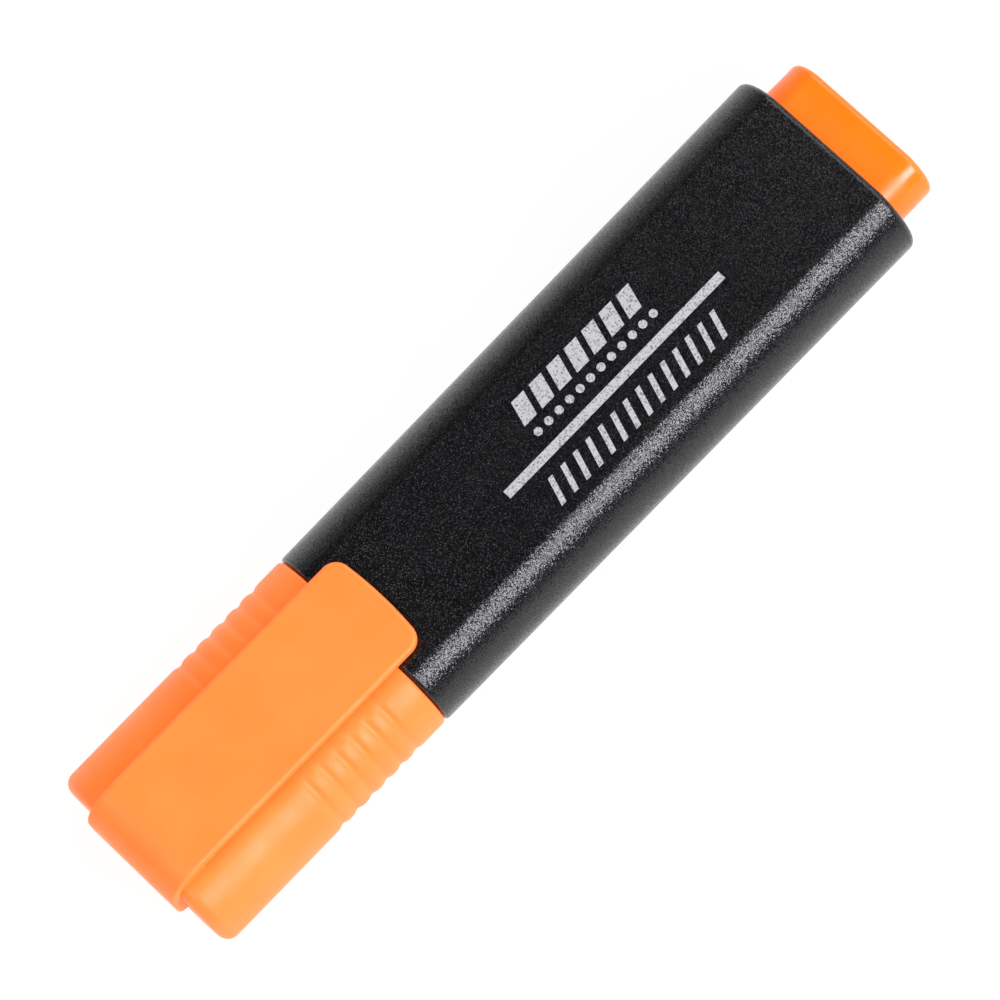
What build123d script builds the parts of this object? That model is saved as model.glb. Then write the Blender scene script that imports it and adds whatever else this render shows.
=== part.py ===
from build123d import *
import os
from math import atan2, cos, degrees, radians, sin, tan

# Flat desk highlighter with a pull-off cap, in millimetres.
# +X runs along the pen towards the nib, +Z out of the clip face, and the origin is the centre of the
# bounding box's underside, so the pen lies on Z = 0.

# ---------------------------------------------------------------- driving dimensions
# A section is (width, thickness, corner radius): flat top and bottom, and full round sides that a
# smaller corner radius joins to the flats.
LENGTH = 114.35           # over everything, from the end plug to the clip's root
THICKNESS = 14.2          # barrel, between its two broad faces
WIDTH_REAR = 26.3         # barrel, across its sides at the plug end
WIDTH_FRONT = 25.36       # and at the cap end, with the draft between them
CORNER_R = 3.0
CORNER_TURN = 25.0        # degrees that each corner arc turns before the side arc takes over
WALL = 1.3                # barrel wall
RIM_REAR_R = 0.8          # rounding of the barrel's rear rim
RIM_FRONT_R = 0.45        # and of its front rim
FIT = 0.03                # gap per side where two parts are pressed together

PLUG_STANDOUT = 5.68      # end plug beyond the barrel
BARREL_PITCH = 73.7       # barrel's rear rim to the cap's mouth
CAP_LENGTH = 33.77
CLIP_STANDOUT = 1.2       # clip root beyond the cap's closed end
MOUTH_GAP = 0.12          # cap's mouth to the barrel's front rim

AXIS_Z = THICKNESS / 2
X_TAIL = -LENGTH / 2
X_RIM = X_TAIL + PLUG_STANDOUT
X_MOUTH = X_RIM + BARREL_PITCH
X_CAP_END = X_MOUTH + CAP_LENGTH
X_CLIP_END = X_CAP_END + CLIP_STANDOUT
X_FRONT = X_MOUTH - MOUTH_GAP

# Front section: skirt inside the barrel, neck under the cap, shoulder, round nose.
SKIRT_LENGTH = 9.0
NECK_LENGTH = 9.2
SHOULDER_LENGTH = 6.2
NOSE_D = 9.4
NOSE_LENGTH = 7.8
NOSE_SLANT = 14.0         # degrees, slant of the nose's front face
SECTION_WALL = 1.2
SHOULDER_END = (12.0, 10.2, 2.8)
SLEEVE = (7.4, 6.0)       # outside of the sleeve that holds the nib
SLEEVE_LENGTH = 13.0
STOP_RIB_Y = 6.4          # ribs that stop the reservoir
RIB_THICK = 1.0
SNAP_HEIGHT = 0.10        # bands that click into shallow grooves
SNAP_HALF = 0.7
SNAP_INSET = 3.0          # from the inner end of each pressed-in skirt to its band
NECK_STEP = 0.05          # the neck stands this far inside the skirt's surface
NECK_SNAP_X = 2.4         # ring on the neck, from the barrel's front rim

# Nib.
NIB_WIDTH = 5.0
NIB_THICK = 3.6
NIB_STANDOUT = 5.9        # longest side beyond the nose
NIB_REACH = 9.0           # into the reservoir
NIB_EDGE_THICK = 1.1      # writing edge
NIB_EDGE_SLANT = 30.0     # degrees, across the broad face
NIB_BEVEL = 21.0          # degrees, each face of the wedge
NIB_EDGE_R = 0.45
AIR_SLOT = (0.8, 0.5)     # two slots beside the nib, width and depth

# Reservoir, its film and the breather tube.
CORE_WIDTH = 18.4
CORE_THICK = 8.3
CORE_X0 = -42.5
CORE_X1 = 19.2
FILM = 0.12
FILM_SHORT = 0.55         # the film stops short of the fibre at each end
SEAM_WIDTH = 3.0
TUBE_D = 1.7
TUBE_BORE = 1.1
TUBE_Y = 10.25

# End plug.
KNOB = (20.75, 9.2, 2.4)
KNOB_R = 0.8
PLUG_DEPTH = 7.8          # skirt inside the barrel
PLUG_RECESS = 0.3         # flange below the barrel's rear rim
PLUG_WALL = 1.2

# Cap and its sealing liner.
CAP = (25.28, 14.1, 3.0)
CAP_WALL = 1.15
CAP_END_WALL = 1.5
CAP_END_R = 1.5
CAP_MOUTH_R = 0.45
GROOVE_COUNT = 6
GROOVE_FIRST = 4.5        # from the mouth to the first grip groove
GROOVE_PITCH = 2.25
GROOVE_R = 1.3            # radius of the round cutter
GROOVE_SIDE = 0.22        # depth on the round sides
GROOVE_FACE = 0.08        # depth on the broad faces
LINER_D = 11.0
LINER_BORE = 9.5
LINER_LENGTH = 15.6
LINER_FLANGE = 1.0

# Clip: a root that wraps the cap's closed end, and the strap that flexes from it.
CLIP_WIDTH = 13.4
CLIP_THICK = 1.6
CLIP_TOP = AXIS_Z + 9.3   # top face at the root
CLIP_DROP = 0.26          # the strap leans this much towards the barrel at its tip
CLIP_PAST_MOUTH = 4.35    # tip beyond the cap's mouth, over the barrel
CLIP_END_R = 4.7          # large rounding over the closed end
CLIP_FOOT_Z = 6.6         # lower edge of the root on the cap's end
CLIP_TIP_R = 1.95         # plan corners of the tip
CLIP_TIP_BOW = 0.48       # the tip's edge bows out this much
CLIP_EDGE_R = 0.45
CLIP_HINGE_X = 50.2       # where the strap starts to flex
CLIP_SEAM = 0.02
CLIP_LAND = 1.6           # from the flexing line to the root's foot on the cap's face
CLIP_TIP_THICK = 1.45
CLIP_FOOT_R = 1.15
NUB_LENGTH = 2.6          # bump under the tip that nips a page or a pocket
NUB_SLOPE = 0.6
NUB_SETBACK = 0.9
NUB_GAP = 0.08

X_TIP = X_MOUTH - CLIP_PAST_MOUTH
X_NECK_END = X_FRONT + NECK_LENGTH
X_NOSE = X_NECK_END + SHOULDER_LENGTH
X_NOSE_END = X_NOSE + NOSE_LENGTH
X_NIB = X_NOSE_END + NIB_STANDOUT
X_CAVITY_END = X_CAP_END - CAP_END_WALL
X_SKIRT = X_FRONT - SKIRT_LENGTH
X_PLUG = X_RIM + PLUG_RECESS
X_PLUG_SKIRT = X_PLUG + PLUG_DEPTH

BARREL_FRONT = (WIDTH_FRONT, THICKNESS, CORNER_R)
BARREL_REAR = (WIDTH_REAR, THICKNESS, CORNER_R)
DRAFT = atan2((WIDTH_REAR - WIDTH_FRONT) / 2, X_FRONT - X_RIM)


# ---------------------------------------------------------------- shared shapes
def cross_plane(x):
    """Plane across the pen at x: its own x is +Y and its own y is +Z."""
    return Plane(origin=(x, 0, AXIS_Z), x_dir=(0, 1, 0), z_dir=(1, 0, 0))


def inset(section, depth):
    """The same section moved inwards by depth on every side."""
    width, thickness, corner_r = section
    return (width - 2 * depth, thickness - 2 * depth, corner_r - depth)


def outline(section):
    """Face with flat top and bottom, a corner arc at each end of them and one round arc on each side."""
    width, thickness, corner_r = section
    turn = radians(CORNER_TURN)
    half = thickness / 2
    side_r = (half - corner_r * (1 - cos(turn))) / cos(turn)
    side_y = width / 2 - side_r
    flat = side_y + (side_r - corner_r) * sin(turn)
    corner = (flat + corner_r * sin(turn), half - corner_r * (1 - cos(turn)))
    mid = (flat + corner_r * sin(turn / 2), half - corner_r * (1 - cos(turn / 2)))
    edges = [
        Line((-flat, half), (flat, half)),
        ThreePointArc((flat, half), mid, corner),
        ThreePointArc(corner, (width / 2, 0), (corner[0], -corner[1])),
        ThreePointArc((corner[0], -corner[1]), (mid[0], -mid[1]), (flat, -half)),
        Line((flat, -half), (-flat, -half)),
        ThreePointArc((-flat, -half), (-mid[0], -mid[1]), (-corner[0], -corner[1])),
        ThreePointArc((-corner[0], -corner[1]), (-width / 2, 0), (-corner[0], corner[1])),
        ThreePointArc((-corner[0], corner[1]), (-mid[0], mid[1]), (-flat, half)),
    ]
    return make_face(edges)


def prism(face, x0, x1):
    """A section drawn across the pen, extruded along it from x0 to x1."""
    return extrude(cross_plane(x0) * face, amount=x1 - x0)


def barrel_core(x0, x1, depth=0.0):
    """The barrel's outer form between x0 and x1, moved inwards by depth: two half forms that lean in by the draft."""
    rear = inset(BARREL_REAR, depth)
    half = outline(rear) & Pos(rear[0] / 2 - 3, 0) * Rectangle(rear[0] + 2, 2 * THICKNESS)
    lean = Plane(origin=(X_RIM, 0, AXIS_Z), x_dir=(sin(DRAFT), cos(DRAFT), 0), z_dir=(cos(DRAFT), -sin(DRAFT), 0))
    reach = X_FRONT - X_RIM + 20
    wing = extrude(lean * half, amount=reach) + extrude(lean * half, amount=-10)
    window = block(x0, x1, -WIDTH_REAR, WIDTH_REAR, -THICKNESS, THICKNESS)
    wing = wing & window
    return wing + mirror(wing, about=Plane.XZ)


def block(x0, x1, y0, y1, z0, z1):
    """Box between two corners, with z measured from the pen's axis."""
    centre = ((x0 + x1) / 2, (y0 + y1) / 2, (z0 + z1) / 2 + AXIS_Z)
    return Pos(*centre) * Box(x1 - x0, y1 - y0, z1 - z0)


def rod(diameter, x0, x1, y=0.0):
    return extrude(cross_plane(x0) * Pos(y, 0) * Circle(diameter / 2), amount=x1 - x0)


def edges_at(shape, x):
    """Edges that lie in the plane across the pen at x."""
    spans = [(e, e.bounding_box()) for e in shape.edges()]
    return [e for e, box in spans if abs(box.min.X - x) < 1e-4 and abs(box.max.X - x) < 1e-4]


# ---------------------------------------------------------------- body of the pen
def make_barrel():
    body = barrel_core(X_RIM, X_FRONT)
    body = fillet(edges_at(body, X_RIM), RIM_REAR_R)
    body = fillet(edges_at(body, X_FRONT), RIM_FRONT_R)
    body -= barrel_core(X_RIM - 1, X_FRONT + 1, WALL)
    for x in (X_PLUG_SKIRT - SNAP_INSET, X_SKIRT + SNAP_INSET):
        body -= barrel_core(x - SNAP_HALF - 0.2, x + SNAP_HALF + 0.2, WALL - SNAP_HEIGHT - FIT)
    rib_x0, rib_x1 = X_PLUG_SKIRT + 0.5, X_SKIRT - 0.1
    rib_tip = CORE_THICK / 2 + 2 * FILM + 0.1
    for y in (-STOP_RIB_Y, STOP_RIB_Y):
        for side in (-1, 1):
            low, high = sorted((side * rib_tip, side * (THICKNESS / 2 - WALL / 2)))
            body += block(rib_x0, rib_x1, y - RIB_THICK / 2, y + RIB_THICK / 2, low, high)
    return body


def nib_hole(extra):
    width, thick = NIB_WIDTH + 2 * extra, NIB_THICK + 2 * extra
    return RectangleRounded(width, thick, NIB_EDGE_R)


def make_front_section():
    depth = WALL + FIT
    neck = inset(BARREL_FRONT, depth + NECK_STEP)
    body = barrel_core(X_SKIRT, X_FRONT, depth)
    snap_x = X_SKIRT + SNAP_INSET
    body += barrel_core(snap_x - SNAP_HALF, snap_x + SNAP_HALF, depth - SNAP_HEIGHT)
    body += prism(outline(neck), X_FRONT - 0.5, X_NECK_END)
    body += loft([cross_plane(X_NECK_END) * outline(neck), cross_plane(X_NOSE) * outline(SHOULDER_END)], ruled=True)
    # Ring that the cap's mouth rides over.
    ring_x = X_FRONT + NECK_SNAP_X
    ring = inset(neck, -SNAP_HEIGHT - NECK_STEP)
    body += prism(outline(ring), ring_x - SNAP_HALF, ring_x + SNAP_HALF)

    inner = inset(neck, SECTION_WALL)
    body -= barrel_core(X_SKIRT - 1, X_FRONT, depth + SECTION_WALL)
    hollow_end = X_NECK_END - 1.0
    body -= prism(outline(inner), X_FRONT - 1.0, hollow_end)
    small = inset(SHOULDER_END, SECTION_WALL + 0.4)
    body -= loft([cross_plane(hollow_end) * outline(inner), cross_plane(X_NOSE - 1.2) * outline(small)], ruled=True)

    nose = rod(NOSE_D, X_NOSE - 2.0, X_NOSE_END)
    slant = Plane(origin=(X_NOSE_END, NOSE_D / 2, AXIS_Z), x_dir=(0, 0, 1),
                  z_dir=(cos(radians(NOSE_SLANT)), -sin(radians(NOSE_SLANT)), 0))
    nose -= slant * Pos(0, 0, 5) * Box(40, 40, 10)
    tip_edges = [e for e in nose.edges() if (e @ 0.5).X > X_NOSE + 3 and e.length > NOSE_D]
    body += fillet(tip_edges, 0.7)
    sleeve_x0 = X_NOSE - SLEEVE_LENGTH
    body += prism(RectangleRounded(*SLEEVE, 0.6), sleeve_x0, X_NOSE - 1.0)
    # Ribs tie the sleeve to the neck and stop the reservoir.
    rib_x0, rib_x1 = CORE_X1 + 0.1, hollow_end - 0.5
    for y in (-STOP_RIB_Y, STOP_RIB_Y):
        half_z = THICKNESS / 2 - depth - SECTION_WALL / 2
        body += block(rib_x0, rib_x1, y - RIB_THICK / 2, y + RIB_THICK / 2, -half_z, half_z)
    web_z = RIB_THICK / 2
    body += block(sleeve_x0, rib_x1, SLEEVE[0] / 2 - 0.3, STOP_RIB_Y, -web_z, web_z)
    body += block(sleeve_x0, rib_x1, -STOP_RIB_Y, -SLEEVE[0] / 2 + 0.3, -web_z, web_z)

    body -= prism(nib_hole(FIT), sleeve_x0 - 1, X_NOSE_END + 1)
    slot_half, slot_y = AIR_SLOT[0] / 2, NIB_WIDTH / 2 + AIR_SLOT[1]
    body -= block(sleeve_x0 - 1, X_NOSE_END + 1, -slot_y, slot_y, -slot_half, slot_half)
    return body


def make_nib():
    rear = CORE_X1 - NIB_REACH
    body = prism(nib_hole(0), rear, X_NIB)
    slope = radians(NIB_EDGE_SLANT)
    edge_x = X_NIB - NIB_WIDTH / 2 * tan(slope)
    edge_dir = (sin(slope), cos(slope), 0)
    ahead = (cos(slope), -sin(slope), 0)
    front = Plane(origin=(edge_x, 0, AXIS_Z), x_dir=edge_dir, z_dir=ahead)
    body -= front * Pos(0, 0, 10) * Box(40, 40, 20)
    bevel = radians(NIB_BEVEL)
    for side in (-1, 1):
        normal = (sin(bevel) * ahead[0], sin(bevel) * ahead[1], side * cos(bevel))
        face = Plane(origin=(edge_x, 0, AXIS_Z + side * NIB_EDGE_THICK / 2), x_dir=edge_dir, z_dir=normal)
        body -= face * Pos(0, 0, 10) * Box(40, 40, 20)
    # Spear end that is pushed into the fibre.
    for side in (-1, 1):
        normal = (-sin(radians(20)), side * cos(radians(20)), 0)
        face = Plane(origin=(rear, side * 0.8, AXIS_Z), x_dir=(0, 0, 1), z_dir=normal)
        body -= face * Pos(0, 0, 10) * Box(40, 40, 20)
    return body


def make_reservoir_core(nib):
    body = prism(SlotOverall(CORE_WIDTH, CORE_THICK), CORE_X0, CORE_X1)
    body = chamfer([*edges_at(body, CORE_X0), *edges_at(body, CORE_X1)], 0.3)
    return body - nib


def make_reservoir_film():
    x0, x1 = CORE_X0 + FILM_SHORT, CORE_X1 - FILM_SHORT
    inner = SlotOverall(CORE_WIDTH, CORE_THICK)
    outer = SlotOverall(CORE_WIDTH + 2 * FILM, CORE_THICK + 2 * FILM)
    wrap = prism(outer, x0, x1) - prism(inner, x0, x1)
    top = CORE_THICK / 2 + FILM
    return wrap + block(x0, x1, -SEAM_WIDTH / 2, SEAM_WIDTH / 2, top - FILM / 2, top + FILM)


def make_breather_tube():
    x0, x1 = X_PLUG_SKIRT + 0.6, X_SKIRT - 0.5
    return rod(TUBE_D, x0, x1, TUBE_Y) - rod(TUBE_BORE, x0, x1, TUBE_Y)


def make_end_plug():
    depth = WALL + FIT
    body = barrel_core(X_PLUG, X_PLUG_SKIRT, depth)
    snap_x = X_PLUG_SKIRT - SNAP_INSET
    body += barrel_core(snap_x - SNAP_HALF, snap_x + SNAP_HALF, depth - SNAP_HEIGHT)
    body -= barrel_core(X_PLUG + PLUG_WALL, X_PLUG_SKIRT + 1, depth + PLUG_WALL)
    knob = prism(outline(KNOB), X_TAIL, X_PLUG + PLUG_WALL)
    body += fillet(edges_at(knob, X_TAIL), KNOB_R)
    body -= prism(outline(inset(KNOB, PLUG_WALL)), X_TAIL + PLUG_WALL, X_PLUG + PLUG_WALL + 0.01)
    # Two ribs reach in to hold the reservoir forwards.
    half_z = KNOB[1] / 2 - PLUG_WALL - 0.6
    for y in (-STOP_RIB_Y, STOP_RIB_Y):
        low, high = y - RIB_THICK / 2, y + RIB_THICK / 2
        body += block(X_TAIL + PLUG_WALL / 2, CORE_X0 - 0.1, low, high, -half_z, half_z)
    return body


# ---------------------------------------------------------------- cap
def groove_cutter(x):
    """Round ring round the cap, deeper on the sides than on the broad faces."""
    width, thickness, corner_r = CAP
    out_side, out_face = GROOVE_R - GROOVE_SIDE, GROOVE_R - GROOVE_FACE
    ring = outline((width + 2 * out_side, thickness + 2 * out_face, corner_r + out_face))
    path = (cross_plane(x) * ring).face().outer_wire()
    return sweep(Plane(origin=path @ 0, z_dir=path % 0) * Circle(GROOVE_R), path=path)


def cap_outer():
    body = prism(outline(CAP), X_MOUTH, X_CAP_END)
    body = fillet(edges_at(body, X_CAP_END), CAP_END_R)
    return fillet(edges_at(body, X_MOUTH), CAP_MOUTH_R)


def make_cap_shell(outer):
    body = outer
    for i in range(GROOVE_COUNT):
        body -= groove_cutter(X_MOUTH + GROOVE_FIRST + i * GROOVE_PITCH)
    body -= prism(outline(inset(CAP, CAP_WALL)), X_MOUTH - 1, X_CAVITY_END)
    return body + make_clip_root(outer)


def make_inner_cap():
    cavity = outline(inset(CAP, CAP_WALL + FIT))
    x0 = X_CAVITY_END - LINER_LENGTH
    body = prism(cavity, X_CAVITY_END - LINER_FLANGE, X_CAVITY_END)
    body += rod(LINER_D, x0, X_CAVITY_END)
    body -= rod(LINER_BORE, x0, X_CAVITY_END - LINER_FLANGE)
    mouth = [e for e in edges_at(body, x0) if abs(e.radius - LINER_BORE / 2) < 0.01]
    return chamfer(mouth, 0.25)


def clip_slab(points, rounded):
    """Side profile in the XZ plane, its listed corners rounded, extruded to the clip's width."""
    face = make_face(Polyline(*points, close=True))
    for x, z, radius in rounded:
        corner = [v for v in face.vertices() if abs(v.X - x) < 1e-4 and abs(v.Y - z) < 1e-4]
        face = fillet(corner, radius)
    return extrude(Plane.XZ * face, amount=CLIP_WIDTH / 2, both=True)


def make_clip_root(outer):
    """The part of the clip that does not flex: over the cap's closed end and down its end face."""
    top, end, foot = CLIP_TOP, X_CLIP_END, CLIP_FOOT_Z
    inner_x = X_CAP_END - 2.5
    inner_z = AXIS_Z + 4
    land_x = CLIP_HINGE_X + CLIP_LAND
    points = [
        (CLIP_HINGE_X, top),
        (end, top),
        (end, foot),
        (inner_x, foot),
        (inner_x, inner_z),
        (land_x, inner_z),
        (land_x, top - CLIP_THICK),
        (CLIP_HINGE_X, top - CLIP_THICK),
    ]
    body = clip_slab(points, [(end, top, CLIP_END_R), (end, foot, CLIP_FOOT_R)])
    side = CLIP_WIDTH / 2
    outer_edges = [e for e in body.edges() if abs(abs((e @ 0.5).Y) - side) < 1e-4
                   and ((e @ 0.5).Z > top - 1e-4 or (e @ 0.5).X > end - CLIP_FOOT_R)]
    body = fillet(outer_edges, CLIP_EDGE_R)
    return body - outer


def clip_plan():
    """The strap seen from above: square at the root, rounded corners and a slight bow at the tip."""
    side = CLIP_WIDTH / 2
    start, shoulder = CLIP_HINGE_X - CLIP_SEAM, X_TIP + CLIP_TIP_BOW
    outline = [
        Line((start, -side), (start, side)),
        Line((start, side), (shoulder, side)),
        ThreePointArc((shoulder, side), (X_TIP, 0), (shoulder, -side)),
        Line((shoulder, -side), (start, -side)),
    ]
    face = make_face(outline)
    return fillet([v for v in face.vertices() if v.X < shoulder + 1e-3], CLIP_TIP_R)


def make_clip():
    """The strap, from the line where it starts to flex to its free tip over the barrel."""
    top, tip_top = CLIP_TOP, CLIP_TOP - CLIP_DROP
    start = CLIP_HINGE_X - CLIP_SEAM
    under_tip = tip_top - CLIP_TIP_THICK
    nub_x = X_TIP + NUB_SETBACK
    nub_z = THICKNESS + NUB_GAP
    points = [
        (start, top),
        (X_TIP, tip_top),
        (X_TIP, under_tip),
        (nub_x, under_tip),
        (nub_x + NUB_SLOPE, nub_z),
        (nub_x + NUB_LENGTH - NUB_SLOPE, nub_z),
        (nub_x + NUB_LENGTH, under_tip),
        (start, top - CLIP_THICK),
    ]
    body = clip_slab(points, []) & extrude(clip_plan(), amount=3 * THICKNESS)
    slope = CLIP_DROP / (start - X_TIP)
    rim = [e for e in body.edges() if (e @ 0.5).X < start - 1e-3
           and abs((e @ 0.5).Z - top - slope * ((e @ 0.5).X - start)) < 0.01]
    return fillet(rim, CLIP_EDGE_R)


def main():
    os.makedirs("parts", exist_ok=True)
    nib = make_nib()
    outer = cap_outer()
    parts = {
        "barrel": make_barrel(),
        "front_section": make_front_section(),
        "nib": nib,
        "reservoir_core": make_reservoir_core(nib),
        "reservoir_film": make_reservoir_film(),
        "breather_tube": make_breather_tube(),
        "end_plug": make_end_plug(),
        "cap_shell": make_cap_shell(outer),
        "inner_cap": make_inner_cap(),
        "clip": make_clip(),
    }
    for name, shape in parts.items():
        export_step(shape, f"parts/{name}.step")


main()
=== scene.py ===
import math

import bmesh
import bpy
from mathutils import Matrix, Vector


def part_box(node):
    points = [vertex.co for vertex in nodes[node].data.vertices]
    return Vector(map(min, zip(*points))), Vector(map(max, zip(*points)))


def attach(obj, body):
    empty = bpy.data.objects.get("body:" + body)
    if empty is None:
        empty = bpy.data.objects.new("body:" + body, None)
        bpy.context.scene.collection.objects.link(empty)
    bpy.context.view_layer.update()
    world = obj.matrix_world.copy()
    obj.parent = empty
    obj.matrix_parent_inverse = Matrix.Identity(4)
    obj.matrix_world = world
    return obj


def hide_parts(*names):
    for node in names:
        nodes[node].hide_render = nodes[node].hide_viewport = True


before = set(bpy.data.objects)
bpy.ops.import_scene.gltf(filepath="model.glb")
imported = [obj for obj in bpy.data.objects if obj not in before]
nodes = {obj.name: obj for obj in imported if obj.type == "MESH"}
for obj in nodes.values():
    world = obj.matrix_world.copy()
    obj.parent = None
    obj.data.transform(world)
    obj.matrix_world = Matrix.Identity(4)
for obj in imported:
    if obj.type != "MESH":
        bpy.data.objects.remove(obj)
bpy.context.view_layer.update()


# ---------------------------------------------------------------- sizes in mm, from the frame
def box_mm(node):
    low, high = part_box(node)
    return low * 1000, high * 1000


BARREL_LO, BARREL_HI = box_mm("barrel")
PLUG_LO, PLUG_HI = box_mm("end_plug")
CAP_LO, CAP_HI = box_mm("cap_shell")
CLIP_LO, CLIP_HI = box_mm("clip")
NIB_LO, NIB_HI = box_mm("nib")
FRONT_HI = box_mm("front_section")[1]

AXIS_Z = (BARREL_LO.z + BARREL_HI.z) / 2
THICK = BARREL_HI.z - BARREL_LO.z
WIDTH_REAR = BARREL_HI.y - BARREL_LO.y
X_RIM, X_FRONT = BARREL_LO.x, BARREL_HI.x
X_TAIL, X_PLUG_SKIRT = PLUG_LO.x, PLUG_HI.x
X_MOUTH, X_CLIP_END = CAP_LO.x, CAP_HI.x
X_TIP, X_HINGE = CLIP_LO.x, CLIP_HI.x
CAP_WIDTH = CAP_HI.y - CAP_LO.y
CAP_THICK = 2 * (AXIS_Z - CAP_LO.z)
CLIP_TOP = CLIP_HI.z
CLIP_HALF = (CLIP_HI.y - CLIP_LO.y) / 2

# ---------------------------------------------------------------- sizes in mm that the boxes do not show
CORNER_R = 3.0              # where a flat face meets a round side
CORNER_TURN = 25.0          # degrees that this corner turns
WIDTH_FRONT = 25.36         # barrel at its front rim
WALL = 1.3                  # barrel
RIM_REAR_R = 0.8
RIM_FRONT_R = 0.45
RIM_CHAMFER = 0.12          # inside both rims
FIT = 0.03                  # between parts that are pressed together

PRINT_SUNK = 0.02           # the print reaches this far into the barrel's face
PRINT_PROUD = 0.012         # and this far above it

KNOB_WIDTH = 20.75
KNOB_THICK = 9.2
KNOB_CORNER_R = 2.4
KNOB_END_R = 0.8
KNOB_ROOT_R = 0.25
PLUG_RECESS = 0.3           # flange below the barrel's rim
PLUG_WALL = 1.2

CAP_WALL = 1.15
CAP_MOUTH_R = 0.45
CAP_END_WALL = 1.5
CAP_END_R = 1.5
GROOVE_COUNT = 6
GROOVE_FIRST = 4.5          # from the mouth to the middle of the first groove
GROOVE_PITCH = 2.25
GROOVE_DEPTH = 0.07         # on the broad faces
GROOVE_SIDE_EXTRA = 0.15    # added on the round sides

CLIP_STANDOUT = 1.2         # past the cap's closed end
CLIP_THICK = 1.6
CLIP_TAPER = 0.15           # thinner by this at the tip
CLIP_DROP = 0.26            # lower by this at the tip
CLIP_EDGE_R = 0.45
CLIP_BEND_R = 4.7           # over the cap's closed end
CLIP_LAND = 1.62            # from the hinge line to where the root reaches down into the cap
CLIP_FOOT_Z = 6.6
CLIP_FOOT_R = 1.15
CLIP_TIP_R = 1.95
CLIP_TIP_BOW = 0.48
NUB_GAP = 0.08              # between the bump under the tip and the barrel

NECK_STEP = 0.05            # neck below the skirt
NOSE_R = 4.7
NOSE_SLANT = 14.0           # degrees
NIB_CORNER_R = 0.45
NIB_SLANT = 30.0            # degrees, of the writing edge
NIB_BEVEL = 21.0            # degrees, of each face of the wedge
NIB_HALF_EDGE = 0.55        # half of the writing edge's thickness

X_CAP_END = X_CLIP_END - CLIP_STANDOUT
X_SHOULDER = X_FRONT + 9.2
X_NOSE = X_FRONT + 15.4
X_NIB_FULL = X_FRONT + 18.0  # the nib has its full section up to here

CRISP_TURN = 38.0           # degrees, from which an edge is shaded crisp


# ---------------------------------------------------------------- mesh helpers
def section(width, thick, corner=CORNER_R):
    """Loop of (y, z, normal y, normal z): flat top and bottom, corner arcs and round sides."""
    turn = math.radians(CORNER_TURN)
    half = thick / 2
    side_r = (half - corner * (1 - math.cos(turn))) / math.cos(turn)
    side_y = width / 2 - side_r
    flat = side_y + (side_r - corner) * math.sin(turn)
    quarter = [(flat * i / 6, half, 0.0, 1.0) for i in range(6)]
    for i in range(6):
        a = turn * i / 6
        out, up = math.sin(a), math.cos(a)
        quarter.append((flat + corner * out, half - corner * (1 - up), out, up))
    for i in range(16):
        a = turn + (math.pi / 2 - turn) * i / 16
        out, up = math.sin(a), math.cos(a)
        quarter.append((side_y + side_r * out, side_r * up, out, up))
    return around(quarter, width / 2)


def around(quarter, half_width):
    """Whole loop from its first quarter, top centre to just before the side's middle."""
    loop = list(quarter) + [(half_width, 0.0, 1.0, 0.0)]
    loop += [(y, -z, ny, -nz) for y, z, ny, nz in reversed(quarter)]
    loop += [(-y, -z, -ny, -nz) for y, z, ny, nz in quarter[1:]]
    loop.append((-half_width, 0.0, -1.0, 0.0))
    loop += [(-y, z, -ny, nz) for y, z, ny, nz in reversed(quarter[1:])]
    return loop


def rounded_box(width, thick, r):
    """Rounded rectangle with as many points as section()."""
    flat, wall = width / 2 - r, thick / 2 - r
    quarter = [(flat * i / 6, thick / 2, 0.0, 1.0) for i in range(6)]
    for i in range(14):
        a = math.pi / 2 * i / 13
        out, up = math.sin(a), math.cos(a)
        quarter.append((flat + r * out, wall + r * up, out, up))
    quarter += [(width / 2, wall * (1 - i / 8), 1.0, 0.0) for i in range(8)]
    return around(quarter, width / 2)


def disc(radius):
    """Circle with as many points as section()."""
    quarter = []
    for i in range(28):
        a = math.pi / 2 * i / 28
        out, up = math.sin(a), math.cos(a)
        quarter.append((radius * out, radius * up, out, up))
    return around(quarter, radius)


def ring(loop, x, inset=0.0):
    """The loop across the pen at x, moved inwards by inset, a number or a function of the point."""
    points = []
    for y, z, ny, nz in loop:
        d = inset(y, z, ny, nz) if callable(inset) else inset
        points.append((x, y - ny * d, AXIS_Z + z - nz * d))
    return points


def round_end(loop, x, r, into, steps=7):
    """Rings of an edge rounded by r, from the full section to the end at x, towards into (+1 or -1)."""
    rings = []
    for i in range(steps + 1):
        a = math.pi / 2 * i / steps
        rings.append(ring(loop, x - into * r * (1 - math.sin(a)), r * (1 - math.cos(a))))
    return rings


def loft(rings, closed=False):
    """Vertices and faces between rings of equal length, with flat ends unless the last joins the first."""
    n = len(rings[0])
    verts = [p for r in rings for p in r]
    faces = []
    spans = len(rings) if closed else len(rings) - 1
    for k in range(spans):
        a, b = k * n, (k + 1) % len(rings) * n
        faces += [(a + i, a + (i + 1) % n, b + (i + 1) % n, b + i) for i in range(n)]
    if not closed:
        faces.append(tuple(range(n)))
        faces.append(tuple((len(rings) - 1) * n + i for i in range(n)))
    return verts, faces


def wear_of(bm):
    """How sharply each vertex's surface turns outwards, from 0 on flats to 1 on a 0.5 mm edge."""
    value = [0.0] * len(bm.verts)
    for e in bm.edges:
        if len(e.link_faces) != 2:
            continue
        f, g = e.link_faces
        across = (f.calc_center_median() - g.calc_center_median()).length * 1000
        bend = max(0.0, e.calc_face_angle_signed(0.0)) / max(min(across, 0.5), 0.02)
        for v in e.verts:
            value[v.index] = max(value[v.index], min(1.0, max(0.0, (bend - 0.35) / 1.5)))
    return value


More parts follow.
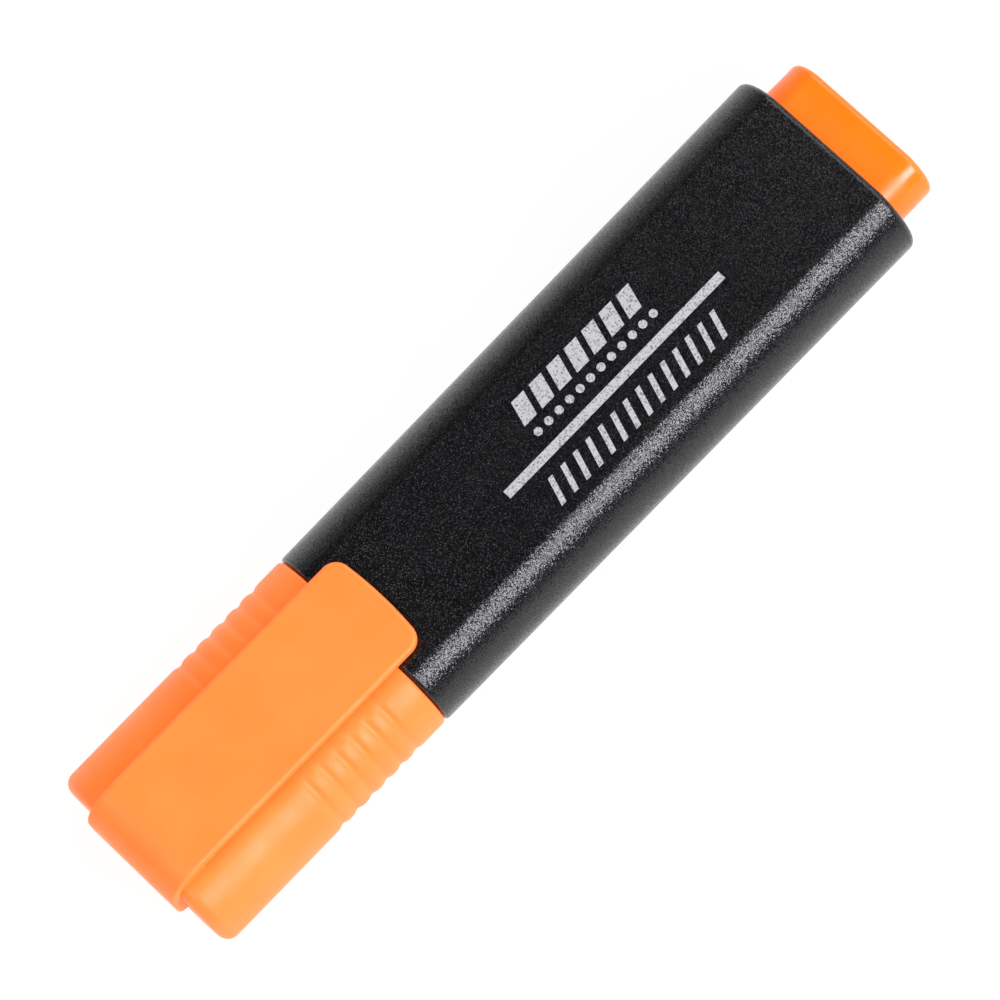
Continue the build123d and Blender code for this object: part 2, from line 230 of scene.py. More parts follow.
def piece(name, shape, body, material, replaces=(), unworn_x=None):
    """A mesh object from vertices in mm, riding on a body, with smooth shading and crisp edges."""
    verts, faces = shape
    mesh = bpy.data.meshes.new(name)
    mesh.from_pydata([tuple(c / 1000 for c in v) for v in verts], [], faces)
    bm = bmesh.new()
    bm.from_mesh(mesh)
    bmesh.ops.remove_doubles(bm, verts=bm.verts, dist=1e-7)
    bmesh.ops.recalc_face_normals(bm, faces=bm.faces)
    bm.verts.index_update()
    wear = wear_of(bm)
    if unworn_x is not None:
        wear = [0.0 if abs(v.co.x * 1000 - unworn_x) < 0.1 else w for v, w in zip(bm.verts, wear)]
    bm.to_mesh(mesh)
    bm.free()
    mesh.attributes.new("wear", "FLOAT", "POINT").data.foreach_set("value", wear)
    mesh.polygons.foreach_set("use_smooth", [True] * len(mesh.polygons))
    mesh.set_sharp_from_angle(angle=math.radians(CRISP_TURN))
    obj = bpy.data.objects.new(name, mesh)
    bpy.context.scene.collection.objects.link(obj)
    normals = obj.modifiers.new("normals", "WEIGHTED_NORMAL")
    normals.keep_sharp = True
    mesh.materials.append(material)
    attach(obj, body)
    if replaces:
        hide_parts(*replaces)


# ---------------------------------------------------------------- materials
class Nodes:
    """Short way to build a node tree: call it with a node kind, its settings and its inputs."""

    def __init__(self, name):
        self.material = bpy.data.materials.new(name)
        self.material.use_nodes = True
        self.tree = self.material.node_tree
        self.shader = self.tree.nodes["Principled BSDF"]
        self.place = self("ShaderNodeTexCoord").outputs["Object"]

    def __call__(self, kind, settings=None, **inputs):
        """Inputs go by name, with _ for a space, or by number as i0, i1 and so on."""
        node = self.tree.nodes.new(kind)
        for key, value in (settings or {}).items():
            setattr(node, key, value)
        for key, value in inputs.items():
            numbered = key[0] == "i" and key[1:].isdigit()
            self.put(node.inputs[int(key[1:]) if numbered else key.replace("_", " ")], value)
        return node

    def put(self, socket, value):
        if isinstance(value, bpy.types.NodeSocket):
            self.tree.links.new(value, socket)
        else:
            socket.default_value = value

    def noise(self, size, detail=2.0, roughness=0.5, where=None):
        """Noise whose spots are about size mm across."""
        node = self("ShaderNodeTexNoise", Vector=where or self.place, Scale=1000.0 / size,
                    Detail=detail, Roughness=roughness)
        return node.outputs["Fac"]

    def cells(self, size):
        """Random cells about size mm across."""
        return self("ShaderNodeTexVoronoi", {"feature": "F1"}, Vector=self.place, Scale=1000.0 / size)

    def ramp(self, value, low, high, out_low=0.0, out_high=1.0):
        node = self("ShaderNodeMapRange", {"interpolation_type": "SMOOTHSTEP"},
                    i0=value, i1=low, i2=high, i3=out_low, i4=out_high)
        return node.outputs[0]

    def mix(self, factor, a, b):
        node = self("ShaderNodeMix", {"data_type": "RGBA"}, i0=factor, i6=a, i7=b)
        return node.outputs[2]

    def math(self, operation, a, b=0.0):
        return self("ShaderNodeMath", {"operation": operation}, i0=a, i1=b).outputs[0]

    def vector(self, operation, a, b=(0.0, 0.0, 0.0)):
        return self("ShaderNodeVectorMath", {"operation": operation}, i0=a, i1=b).outputs[0]

    def bump(self, height, depth, normal=None):
        """Bump depth in micrometres."""
        node = self("ShaderNodeBump", Height=height, Strength=1.0, Distance=depth * 1e-6)
        if normal:
            self.put(node.inputs["Normal"], normal)
        return node.outputs["Normal"]

    def worn(self, tone, amount, colour):
        """The tone with outer edges mixed towards colour, in patches."""
        edge = self("ShaderNodeAttribute", {"attribute_name": "wear"}).outputs["Fac"]
        patches = self.math("MULTIPLY", edge, self.ramp(self.noise(0.9, 4.0, 0.65), 0.42, 0.68))
        return self.mix(self.math("MULTIPLY", patches, amount), tone, colour)

    def set(self, **inputs):
        for key, value in inputs.items():
            self.put(self.shader.inputs[key.replace("_", " ")], value)
        return self.material


def barrel_material():
    """Black plastic with a fine sparkle: every grain has its own tilt, and the few lightest grains are
    painted glints.
    """
    grain_size = 0.09
    grain_tilt = (0.34, 0.27, 0.27)
    m = Nodes("black_sparkle_plastic")
    grains = m.cells(grain_size).outputs["Color"]
    painted_glint_chance = m("ShaderNodeSeparateColor", i0=grains).outputs[0]
    tone = m.mix(m.noise(6.0, 3.0), (0.0014, 0.0013, 0.0018, 1), (0.0024, 0.0022, 0.0029, 1))
    # Painted glints: a few grains are painted much lighter, standing in for sparkle that catches the light.
    tone = m.mix(m.math("POWER", painted_glint_chance, 9.0), tone, (0.046, 0.044, 0.052, 1))
    tone = m.worn(tone, 0.12, (0.05, 0.05, 0.053, 1))
    rough = m.ramp(m.noise(2.5, 3.0), 0.3, 0.7, 0.16, 0.21)
    normal = m.bump(m.noise(0.30, 2.0, 0.5), 12)
    normal = m.bump(m.noise(14.0, 1.0), 60, normal)
    tilt = m.vector("MULTIPLY", m.vector("SUBTRACT", grains, (0.5, 0.5, 0.5)), grain_tilt)
    normal = m.vector("NORMALIZE", m.vector("ADD", normal, tilt))
    return m.set(Base_Color=tone, Roughness=rough, Normal=normal, IOR=1.5, Specular_IOR_Level=0.55)


def polished(m, rough, x0, x1):
    """The roughness lowered between two places along the pen, starting within 0.3 mm and ending over 0.8."""
    start_blur, end_blur, polish = 0.3, 0.8, 0.41
    along = m("ShaderNodeSeparateXYZ", i0=m.place).outputs[0]
    start = m.ramp(along, (x0 - start_blur) / 1000, (x0 + start_blur) / 1000)
    end = m.ramp(along, (x1 - end_blur) / 1000, (x1 + end_blur) / 1000)
    lowered = m.math("MULTIPLY", polish, m.math("SUBTRACT", start, end))
    return m.math("MULTIPLY", rough, m.math("SUBTRACT", 1.0, lowered))


def orange_material(name, tones, roughness, grain, painted_glow, polish=None):
    """Fluorescent moulded plastic with a painted glow: a steady orange emission, the same in light and in
    shade, stands in for the light the dye gives back.
    """
    m = Nodes(name)
    tone = m.mix(m.ramp(m.noise(7.0, 3.0), 0.3, 0.7), *tones)
    tone = m.worn(tone, 0.2, (1.0, 0.42, 0.16, 1))
    specks = m.ramp(m.noise(0.35, 2.0), 0.74, 0.82)
    tone = m.mix(m.math("MULTIPLY", specks, 0.25), tone, (0.9, 0.14, 0.01, 1))
    rough = m.ramp(m.noise(3.0, 4.0, 0.6), 0.3, 0.7, *roughness)
    if polish is not None:
        rough = polished(m, rough, *polish)
    normal = m.bump(m.noise(0.16, 2.0, 0.6), grain)
    normal = m.bump(m.noise(9.0, 2.0), 50, normal)
    # Painted glow: a steady emission that lifts the orange in shade as well as in light.
    m.set(Emission_Color=(1.0, 0.10, 0.0, 1), Emission_Strength=painted_glow)
    return m.set(Base_Color=tone, Roughness=rough, Normal=normal, IOR=1.5)


def print_material():
    m = Nodes("print_ink")
    gaps = m.ramp(m.noise(0.22, 3.0, 0.7), 0.36, 0.5)
    tone = m.mix(gaps, (0.16, 0.16, 0.17, 1), (0.62, 0.62, 0.64, 1))
    normal = m.bump(m.noise(0.2, 2.0, 0.6), 25)
    rough = m.ramp(m.noise(1.0, 2.0), 0.3, 0.7, 0.42, 0.55)
    return m.set(Base_Color=tone, Roughness=rough, Normal=normal)


def neck_material():
    m = Nodes("black_satin_plastic")
    tone = m.mix(m.noise(5.0, 3.0), (0.008, 0.008, 0.009, 1), (0.014, 0.014, 0.015, 1))
    tone = m.worn(tone, 0.3, (0.05, 0.05, 0.05, 1))
    rough = m.ramp(m.noise(2.0, 4.0, 0.6), 0.3, 0.7, 0.26, 0.4)
    normal = m.bump(m.noise(0.12, 2.0), 8)
    return m.set(Base_Color=tone, Roughness=rough, Normal=normal)


def nib_material():
    """Porous felt soaked with ink, with painted shade in its pores and a painted glow."""
    m = Nodes("nib_porous")
    pores = m.cells(0.22).outputs["Distance"]
    soaked = m.ramp(m.noise(0.5, 4.0, 0.7), 0.35, 0.65)
    tone = m.mix(soaked, (0.95, 0.16, 0.006, 1), (1.0, 0.30, 0.02, 1))
    # Painted shade: darker towards the middle of each pore, where the bump sinks.
    tone = m.mix(m.ramp(pores, 0.0, 0.35, 0.5, 0.0), tone, (0.5, 0.06, 0.0, 1))
    normal = m.bump(pores, 60)
    normal = m.bump(m.noise(0.3, 3.0, 0.7), 40, normal)
    rough = m.ramp(m.noise(0.8, 2.0), 0.3, 0.7, 0.5, 0.7)
    # Painted glow: a steady orange emission, the same in light and in shade.
    m.set(Emission_Color=(1.0, 0.12, 0.0, 1), Emission_Strength=0.35)
    return m.set(Base_Color=tone, Roughness=rough, Normal=normal)


def inner_material(name, low, high, rough, size, depth, stretch=(1, 1, 1)):
    """Inner parts: natural polyethylene, fibre, film and tube."""
    m = Nodes(name)
    where = m("ShaderNodeMapping", Vector=m.place, Scale=stretch).outputs[0]
    tone = m.mix(m.ramp(m.noise(size, 4.0, 0.6, where), 0.3, 0.7), low, high)
    normal = m.bump(m.noise(size, 3.0, 0.6, where), depth)
    roughness = m.ramp(m.noise(size * 3, 2.0), 0.3, 0.7, rough, rough + 0.12)
    return m.set(Base_Color=tone, Roughness=roughness, Normal=normal)


BLACK = barrel_material()
NECK = neck_material()
ORANGE = orange_material("orange_satin_plastic", ((1.0, 0.260, 0.046, 1), (1.0, 0.288, 0.056, 1)),
                         roughness=(0.39, 0.49), grain=14, painted_glow=0.45)
PLUG = orange_material("orange_gloss_plastic", ((1.0, 0.206, 0.009, 1), (1.0, 0.226, 0.011, 1)),
                       roughness=(0.28, 0.35), grain=2.5, painted_glow=0.42, polish=(X_TAIL + 0.7, X_TAIL + 2.6))
INK = print_material()
NIB = nib_material()
LINER = inner_material("natural_polyethylene", (0.80, 0.79, 0.74, 1), (0.90, 0.89, 0.85, 1),
                       rough=0.34, size=1.2, depth=12)
FIBRE = inner_material("inked_fibre", (0.85, 0.20, 0.02, 1), (1.0, 0.42, 0.10, 1),
                       rough=0.75, size=0.3, depth=60, stretch=(0.12, 1, 1))
FILM = inner_material("clear_film", (0.82, 0.80, 0.74, 1), (0.92, 0.90, 0.86, 1),
                      rough=0.12, size=2.5, depth=10)
TUBE = inner_material("tube_plastic", (0.78, 0.78, 0.75, 1), (0.88, 0.88, 0.85, 1),
                      rough=0.25, size=0.8, depth=8, stretch=(0.2, 1, 1))


# ---------------------------------------------------------------- barrel
def barrel_section(x):
    """The barrel narrows evenly from its rear rim to its front rim."""
    t = (x - X_RIM) / (X_FRONT - X_RIM)
    return section(WIDTH_REAR + (WIDTH_FRONT - WIDTH_REAR) * t, THICK)


def make_barrel():
    rear, front = barrel_section(X_RIM), barrel_section(X_FRONT)
    rings = [ring(rear, X_RIM + RIM_CHAMFER, WALL), ring(rear, X_RIM, WALL - RIM_CHAMFER)]
    rings += round_end(rear, X_RIM, RIM_REAR_R, -1)[::-1]
    steps = 24
    for i in range(1, steps):
        x = X_RIM + RIM_REAR_R + (X_FRONT - X_RIM - RIM_REAR_R - RIM_FRONT_R) * i / steps
        rings.append(ring(barrel_section(x), x))
    rings += round_end(front, X_FRONT, RIM_FRONT_R, 1)
    rings += [ring(front, X_FRONT, WALL - RIM_CHAMFER), ring(front, X_FRONT - RIM_CHAMFER, WALL)]
    piece("barrel_tube", loft(rings, closed=True), "pen", BLACK, ["barrel"])


def slanted_bars(x_span, y_span, count=1, fill=1.0, slant=0.0):
    """Flat shapes on the barrel's face: equal bars side by side, their tops shifted along by slant."""
    (x0, x1), (y0, y1) = x_span, y_span
    pitch = (x1 - x0 - slant) / (count - 1 + fill)
    bars = []
    for i in range(count):
        a = x0 + pitch * i
        b = a + pitch * fill
        bars.append([(a, y0), (b, y0), (b + slant, y1), (a + slant, y1)])
    return bars


def dots(x_span, y, r, count):
    """Flat discs in a row."""
    x0, x1 = x_span
    marks = []
    for i in range(count):
        x = x0 + r + (x1 - x0 - 2 * r) * i / (count - 1)
        turns = [math.pi * k / 10 for k in range(20)]
        marks.append([(x + r * math.cos(a), y + r * math.sin(a)) for a in turns])
    return marks


def make_print():
    """Plain graphic in place of the printed label: bars, dots, a line and thin strokes."""
    shapes = slanted_bars((-25.4, -6.2), (-4.95, -2.0), count=7, fill=0.70, slant=0.9)
    shapes += dots((-25.3, -6.3), -0.55, r=0.5, count=12)
    shapes += slanted_bars((-33.0, 0.6), (1.35, 2.45))
    shapes += slanted_bars((-29.6, -2.6), (3.9, 7.1), count=14, fill=0.36, slant=1.1)
    low, high = THICK - PRINT_SUNK, THICK + PRINT_PROUD
    verts, faces = [], []
    for shape in shapes:
        start, n = len(verts), len(shape)
        verts += [(x, y, low) for x, y in shape] + [(x, y, high) for x, y in shape]
        for i in range(n):
            after = (i + 1) % n
            faces.append((start + i, start + after, start + n + after, start + n + i))
        faces += [tuple(range(start, start + n)), tuple(range(start + n, start + 2 * n))]
    piece("barrel_print", (verts, faces), "pen", INK)


# ---------------------------------------------------------------- end plug
def make_plug():
    """Skirt inside the barrel, flange, and the knob with a small gate mark on its end."""
    depth = WALL + FIT
    flange_edge = 0.1
    lead_length, lead_depth = 0.3, 0.25
    x_flange = X_RIM + PLUG_RECESS
    knob = section(KNOB_WIDTH, KNOB_THICK, KNOB_CORNER_R)
    seat = barrel_section(X_RIM)
    inner = barrel_section(X_PLUG_SKIRT)
    rings = [
        ring(inner, x_flange + PLUG_WALL, depth + PLUG_WALL),
        ring(inner, X_PLUG_SKIRT, depth + PLUG_WALL),
        ring(inner, X_PLUG_SKIRT, depth + lead_depth),
        ring(inner, X_PLUG_SKIRT - lead_length, depth),
        ring(seat, x_flange + flange_edge, depth),
        ring(seat, x_flange, depth + flange_edge),
    ]
    for i in range(5):
        a = math.pi / 2 * i / 4
        flare = KNOB_ROOT_R * (1 - math.sin(a))
        rings.append(ring(knob, x_flange - KNOB_ROOT_R * (1 - math.cos(a)), -flare))
    rings += round_end(knob, X_TAIL, KNOB_END_R, -1)
    rings.append(ring(knob, X_TAIL, 2 * KNOB_END_R))
    # The gate mark, as the radius of each ring and how far it lies below the end face.
    gate = [(2.6, 0.0), (2.45, 0.12), (0.75, 0.12), (0.65, 0.05), (0.45, 0.03)]
    rings += [ring(disc(r), X_TAIL + below) for r, below in gate]
    piece("end_plug_body", loft(rings), "pen", PLUG, ["end_plug"])


# ---------------------------------------------------------------- cap
def groove_profile(x):
    """From 0 between the grooves to 1 at the middle of each."""
    t = (x - X_MOUTH - GROOVE_FIRST) / GROOVE_PITCH
    if t < -0.5 or t > GROOVE_COUNT - 0.5:
        return 0.0
    return abs(math.cos(math.pi * t)) ** 4


def groove_inset(x):
    """Depth of the grooves round the cap at x: shallow on the broad faces, deeper on the round sides."""
    profile = groove_profile(x)

    def inset(y, z, ny, nz):
        side = min(1.0, max(0.0, (abs(ny) - 0.02) / 0.5))
        return profile * (GROOVE_DEPTH + GROOVE_SIDE_EXTRA * side * side * (3 - 2 * side))

    return inset


def make_cap():
    loop = section(CAP_WIDTH, CAP_THICK)
    x_cavity = X_CAP_END - CAP_END_WALL
    chamfer_length, chamfer_depth = 0.25, 0.1
    rings = [
        ring(loop, x_cavity, CAP_WALL),
        ring(loop, X_MOUTH + chamfer_length, CAP_WALL),
        ring(loop, X_MOUTH, CAP_WALL - chamfer_depth),
    ]
    rings += round_end(loop, X_MOUTH, CAP_MOUTH_R, -1)[::-1]
    start = X_MOUTH + GROOVE_FIRST - GROOVE_PITCH / 2
    end = X_MOUTH + GROOVE_FIRST + (GROOVE_COUNT - 0.5) * GROOVE_PITCH
    steps = 18 * GROOVE_COUNT
    for i in range(steps + 1):
        x = start + (end - start) * i / steps
        rings.append(ring(loop, x, groove_inset(x)))
    for i in range(1, 8):
        rings.append(ring(loop, end + (X_CAP_END - CAP_END_R - end) * i / 8))
    rings += round_end(loop, X_CAP_END, CAP_END_R, 1, 10)
    # One more ring, inside the rounding, keeps the shading of the end face flat.
    rings.append(ring(loop, X_CAP_END, 2.6))
    piece("cap_body", loft(rings), "cap", ORANGE, ["cap_shell"])


# ---------------------------------------------------------------- clip
def slab_ring(point, normal, inner):
    """Cross-section of the clip: outer face at point, rounded outer edges, straight sides down to inner."""
    (px, pz), (nx, nz), (qx, qz) = point, normal, inner
    loop = [(qx, -CLIP_HALF, qz)]
    for side in (-1, 1):
        for i in range(6):
            a = math.pi / 2 * (i / 5 if side < 0 else 1 - i / 5)
            down = CLIP_EDGE_R * (1 - math.sin(a))
            half = CLIP_HALF - CLIP_EDGE_R * (1 - math.cos(a))
            loop.append((px - nx * down, side * half, pz - nz * down))
        if side < 0:
            loop += [(px, CLIP_HALF * k, pz) for k in (-0.6, -0.3, 0.0, 0.3, 0.6)]
    loop.append((qx, CLIP_HALF, qz))
    return loop


def make_clip_root():
    """The fixed part of the clip: over the cap's closed end and down its face."""
    land = X_HINGE + CLIP_LAND
    deep = AXIS_Z + 4.0
    inner_x = X_CAP_END - 2.5
    stations = []
    for x in (X_HINGE, land - 0.05):
        stations.append(((x, CLIP_TOP), (0, 1), (x, CLIP_TOP - CLIP_THICK)))
    stations.append(((land, CLIP_TOP), (0, 1), (land, deep)))
    # Over the closed end.
    bend_x, bend_z = X_CLIP_END - CLIP_BEND_R, CLIP_TOP - CLIP_BEND_R
    steps = 20
    for i in range(steps + 1):
        a = math.pi / 2 * i / steps
        out, up = math.sin(a), math.cos(a)
        buried = (land + (inner_x - land) * min(1, 0.3 + i / steps), deep)
        stations.append(((bend_x + CLIP_BEND_R * out, bend_z + CLIP_BEND_R * up), (out, up), buried))
    # Down the end face and round the foot.
    stations.append(((X_CLIP_END, CLIP_FOOT_Z + CLIP_FOOT_R), (1, 0), (inner_x, deep - 1.0)))
    for i in range(1, 7):
        a = math.pi / 2 * i / 6
        out, down = math.cos(a), math.sin(a)
        point = (X_CLIP_END - CLIP_FOOT_R * (1 - out), CLIP_FOOT_Z + CLIP_FOOT_R * (1 - down))
        stations.append((point, (out, -down), (inner_x, deep - 1.0 - 0.35 * i)))
    stations.append(((X_CAP_END - 1.0, CLIP_FOOT_Z), (0, -1), (inner_x, CLIP_FOOT_Z + 0.6)))
    rings = [slab_ring(*station) for station in stations]
    piece("clip_root", loft(rings), "cap", ORANGE, unworn_x=X_HINGE)


def strap_outline():
    """Plan of the strap as (x, y, normal x, normal y): straight sides, round corners and a bowed tip."""
    span = CLIP_HALF - CLIP_TIP_R
    lean = math.atan(2 * CLIP_TIP_BOW * span / CLIP_HALF ** 2)
    touch = span + CLIP_TIP_R * math.sin(lean)
    corner_x = X_TIP + CLIP_TIP_BOW * (touch / CLIP_HALF) ** 2 + CLIP_TIP_R * math.cos(lean)
    side = [(X_HINGE - (X_HINGE - corner_x) * i / 30, CLIP_HALF, 0.0, 1.0) for i in range(30)]
    for i in range(13):
        a = (math.pi / 2 - lean) * i / 12
        back, out = math.sin(a), math.cos(a)
        side.append((corner_x - CLIP_TIP_R * back, span + CLIP_TIP_R * out, -back, out))
    y_end = side[-1][1]
    for i in range(1, 9):
        y = y_end * (1 - i / 8)
        side.append((X_TIP + CLIP_TIP_BOW * (y / CLIP_HALF) ** 2, y, -1.0, 0.0))
    return side + [(x, -y, nx, -ny) for x, y, nx, ny in reversed(side[:-1])]


def make_strap():
    """The part of the clip that flexes: levels of its plan, from the underside up to the top face."""
    outline = strap_outline()

    def level(inset, drop_from_top=None, rise_from_bottom=None):
        points = []
        for x, y, nx, ny in outline:
            t = (X_HINGE - x) / (X_HINGE - X_TIP)
            top = CLIP_TOP - CLIP_DROP * t
            bottom = top - (CLIP_THICK - CLIP_TAPER * t)
            z = top - drop_from_top if rise_from_bottom is None else bottom + rise_from_bottom
            points.append((x - nx * inset, y - ny * inset, z))
        return points

    lower_edge = [(0.22, 0.0), (0.07, 0.06), (0.0, 0.22)]
    rings = [level(inset, rise_from_bottom=rise) for inset, rise in lower_edge]
    for i in range(7):
        a = math.pi / 2 * i / 6
        rings.append(level(CLIP_EDGE_R * (1 - math.cos(a)), drop_from_top=CLIP_EDGE_R * (1 - math.sin(a))))
    rings.append(level(2 * CLIP_EDGE_R, drop_from_top=0.0))
    piece("clip_strap", loft(rings), "clip", ORANGE, ["clip"], unworn_x=X_HINGE)


def make_nub():
    """Bump under the strap's tip, set back from its edge."""
    low = THICK + NUB_GAP
    deep = CLIP_TOP - CLIP_DROP - 0.9
    x0, x1 = X_TIP + 0.9, X_TIP + 3.5
    half = CLIP_HALF - 1.2
    rise = [(0.0, deep), (0.0, low + 0.55), (0.15, low + 0.2), (0.6, low)]
    profile = [(x0 + d, z) for d, z in rise] + [(x1 - d, z) for d, z in reversed(rise)]
    rings = []
    for x, z in profile:
        lower = [(x, y, z) for y in (-half, -half + 0.3, half - 0.3, half)]
        rings.append(lower + [(x, half, deep + 0.2), (x, -half, deep + 0.2)])
    piece("clip_nub", loft(rings), "clip", ORANGE)


# ---------------------------------------------------------------- front section and nib
def nose_face(loop, back, inset):
    """The loop on the nose's slanted end, or behind it by back, moved inwards by inset."""
    slope = math.tan(math.radians(NOSE_SLANT))
    points = []
    for y, z, ny, nz in loop:
        y, z = y - ny * inset, z - nz * inset
        points.append((FRONT_HI.x - (NOSE_R - y) * slope - back, y, AXIS_Z + z))
    return points


def make_front():
    """Skirt in the barrel, neck with its click ring, shoulder, and round nose with the nib's hole."""
    depth = WALL + FIT
    skirt_width, skirt_thick, skirt_corner = WIDTH_FRONT - 2 * depth, THICK - 2 * depth, CORNER_R - depth
    skirt = section(skirt_width, skirt_thick, skirt_corner)
    neck = section(skirt_width - 2 * NECK_STEP, skirt_thick - 2 * NECK_STEP, skirt_corner - NECK_STEP)
    shoulder = section(12.0, 10.2, 2.8)
    nose = disc(NOSE_R)
    rings = [ring(skirt, X_FRONT - 9.0, 0.3), ring(skirt, X_FRONT - 8.7), ring(skirt, X_FRONT)]
    rings += [ring(neck, X_FRONT), ring(neck, X_FRONT + 1.5)]
    click_height = 0.15
    for i in range(9):
        t = i / 8
        rings.append(ring(neck, X_FRONT + 1.7 + 1.4 * t, -click_height * math.sin(math.pi * t)))
    rings += [ring(neck, X_FRONT + 3.4), ring(neck, X_SHOULDER - 0.3)]
    for i in range(17):
        t = i / 16
        s = t ** 1.25
        mixed = [tuple(p + (q - p) * s for p, q in zip(a, b)) for a, b in zip(neck, shoulder)]
        rings.append(ring(mixed, X_SHOULDER + (X_NOSE - X_SHOULDER) * t))
    rings.append(ring(shoulder, X_NOSE + 0.1, 0.12))
    root_r = 0.3
    for i in range(5):
        a = math.pi / 2 * i / 4
        rings.append(ring(nose, X_NOSE + 0.1 + root_r * i / 4, -root_r * (1 - math.sin(a))))
    rings.append(ring(nose, X_NOSE + 3.0))
    nose_edge_r = 0.7
    for i in range(7):
        a = math.pi / 2 * i / 6
        rings.append(nose_face(nose, nose_edge_r * (1 - math.sin(a)), nose_edge_r * (1 - math.cos(a))))
    hole = rounded_box(5.06, 3.66, NIB_CORNER_R)
    hole_edge = 0.12
    rings += [nose_face(hole, 0.0, -hole_edge), nose_face(hole, hole_edge, 0.0), ring(hole, X_NOSE - 3.0)]
    piece("front_section_body", loft(rings), "pen", NECK, ["front_section"])


def make_nib():
    """Rounded block whose two faces taper to a slanted writing edge."""
    slant, bevel = math.radians(NIB_SLANT), math.tan(math.radians(NIB_BEVEL))
    half = (NIB_HI.z - NIB_LO.z) / 2
    width = NIB_HI.y - NIB_LO.y
    edge_x = NIB_HI.x - width / 2 * math.tan(slant)
    loop = rounded_box(width, 2 * half, NIB_CORNER_R)

    def wedge(behind, inset=0.0):
        thin = min(1.0, (NIB_HALF_EDGE + behind * bevel) / half)
        points = []
        for y, z, ny, nz in loop:
            y = y - ny * inset
            z = z * thin - nz * inset
            points.append((edge_x + y * math.tan(slant) - behind / math.cos(slant), y, AXIS_Z + z))
        return points

    full = (half - NIB_HALF_EDGE) / bevel
    rings = [ring(loop, NIB_LO.x, 0.5), ring(loop, NIB_LO.x + 0.5), ring(loop, X_NIB_FULL)]
    rings += [wedge(full + 0.25), wedge(full), wedge(full - 0.25)]
    rings += [wedge(full * (1 - i / 8)) for i in range(1, 8)]
    rings += [wedge(0.25), wedge(0.1, 0.06), wedge(0.03, 0.15), wedge(0.0, 0.28)]
    piece("nib_chisel", loft(rings), "pen", NIB, ["nib"])


# ---------------------------------------------------------------- inner parts, which keep their CAD shape
def dress(node, look):
    mesh = nodes[node].data
    mesh.materials.clear()
    mesh.materials.append(look)


# ---------------------------------------------------------------- floor, light and camera, in metres
def make_floor():
    """Pale floor, a hair below the pen so that their surfaces do not coincide."""
    gap = 0.00002
    mesh = bpy.data.meshes.new("floor")
    bm = bmesh.new()
    bmesh.ops.create_grid(bm, x_segments=8, y_segments=8, size=4.0)
    bm.to_mesh(mesh)
    bm.free()
    floor = bpy.data.objects.new("floor", mesh)
    bpy.context.scene.collection.objects.link(floor)
    floor.location.z = -gap
    m = Nodes("floor_paper")
    tone = m.mix(m.ramp(m.noise(40.0, 2.0), 0.3, 0.7), (0.11, 0.11, 0.11, 1), (0.13, 0.13, 0.13, 1))
    m.set(Emission_Color=(1, 1, 1, 1), Emission_Strength=0.92)
    mesh.materials.append(m.set(Base_Color=tone, Roughness=0.9, Specular_IOR_Level=0.1))


def make_light(name, direction, distance, size, radiance, tint=(1, 1, 1)):
    """Soft box that faces the pen from a direction, with the first side of its size turned towards X."""
    light = bpy.data.lights.new(name, "AREA")
    light.shape, light.size, light.size_y = "RECTANGLE", size[0], size[1]
    light.energy = radiance * math.pi * size[0] * size[1]
    light.color = tint
    lamp = bpy.data.objects.new(name, light)
    bpy.context.scene.collection.objects.link(lamp)
    away = Vector(direction).normalized()
    across = Vector((1, 0, 0)) - away * away.x
    across.normalize()
    up = away.cross(across)
    lamp.matrix_world = Matrix.Translation(away * distance) @ Matrix((across, up, away)).transposed().to_4x4()
    lamp.visible_camera = False


def make_lights():
    key_angle = math.radians(53.3)
    key_from = (-0.14, math.sin(key_angle), math.cos(key_angle))
    make_light("key_soft", key_from, 2.0, (0.95, 0.555), 14.2, (1.0, 0.99, 1.06))
    make_light("tail_soft", (-0.743, 0.05, 0.669), 2.2, (1.6, 4.4), 2.0)
    make_light("end_soft", (0.67, 0.05, 0.74), 2.2, (1.4, 2.6), 1.4)
    make_light("top_strip", (0.292, 0.0, 0.956), 2.2, (0.30, 2.6), 1.5)
    make_light("side_glow", (0.0, -0.97, 0.21), 2.0, (3.0, 0.8), 0.36)


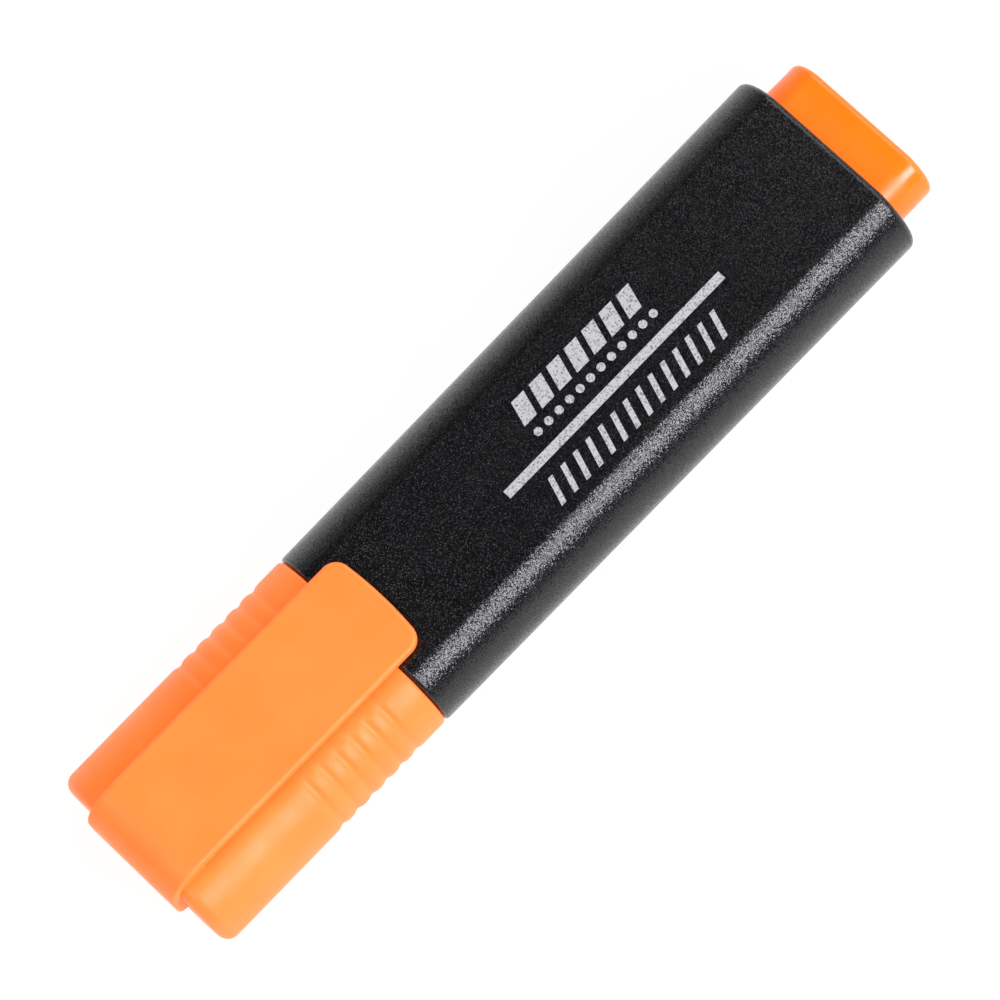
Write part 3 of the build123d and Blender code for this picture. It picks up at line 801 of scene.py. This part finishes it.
def make_world():
    """White where the camera sees past the floor, and dim for everything else."""
    world = bpy.data.worlds.new("studio")
    world.use_nodes = True
    tree = world.node_tree
    tree.nodes.clear()
    out = tree.nodes.new("ShaderNodeOutputWorld")
    path = tree.nodes.new("ShaderNodeLightPath")
    mix = tree.nodes.new("ShaderNodeMixShader")
    soft, seen = tree.nodes.new("ShaderNodeBackground"), tree.nodes.new("ShaderNodeBackground")
    soft.inputs["Strength"].default_value = 0.085
    seen.inputs["Strength"].default_value = 1.25
    tree.links.new(path.outputs["Is Camera Ray"], mix.inputs[0])
    tree.links.new(soft.outputs[0], mix.inputs[1])
    tree.links.new(seen.outputs[0], mix.inputs[2])
    tree.links.new(mix.outputs[0], out.inputs["Surface"])
    bpy.context.scene.world = world


def make_camera():
    """Almost overhead, leaning a little towards +X and +Y, with the pen along the picture's diagonal."""
    lean, tilt, roll = math.radians(6.23), math.radians(13.69), math.radians(45.74)
    distance = 0.621
    back = Vector((math.sin(lean), math.cos(lean) * math.sin(tilt), math.cos(lean) * math.cos(tilt)))
    along = Vector((-math.cos(lean), math.sin(lean) * math.sin(tilt), math.sin(lean) * math.cos(tilt)))
    aside = Vector((0, math.cos(tilt), -math.sin(tilt)))
    right = along * math.cos(roll) + aside * math.sin(roll)
    up = along * math.sin(roll) - aside * math.cos(roll)
    data = bpy.data.cameras.new("camera")
    data.lens, data.sensor_width = 204.9, 36.0
    data.clip_start, data.clip_end = 0.01, 50
    camera = bpy.data.objects.new("camera", data)
    bpy.context.scene.collection.objects.link(camera)
    target = Vector((0.695, 0, AXIS_Z)) / 1000
    place = Matrix.Translation(target + back * distance)
    camera.matrix_world = place @ Matrix((right, up, back)).transposed().to_4x4()
    bpy.context.scene.camera = camera


make_barrel()
make_print()
make_plug()
make_cap()
make_clip_root()
make_strap()
make_nub()
make_front()
make_nib()
dress("inner_cap", LINER)
dress("reservoir_core", FIBRE)
dress("reservoir_film", FILM)
dress("breather_tube", TUBE)
make_floor()
make_lights()
make_world()
make_camera()
bpy.context.scene.view_settings.view_transform = "Standard"
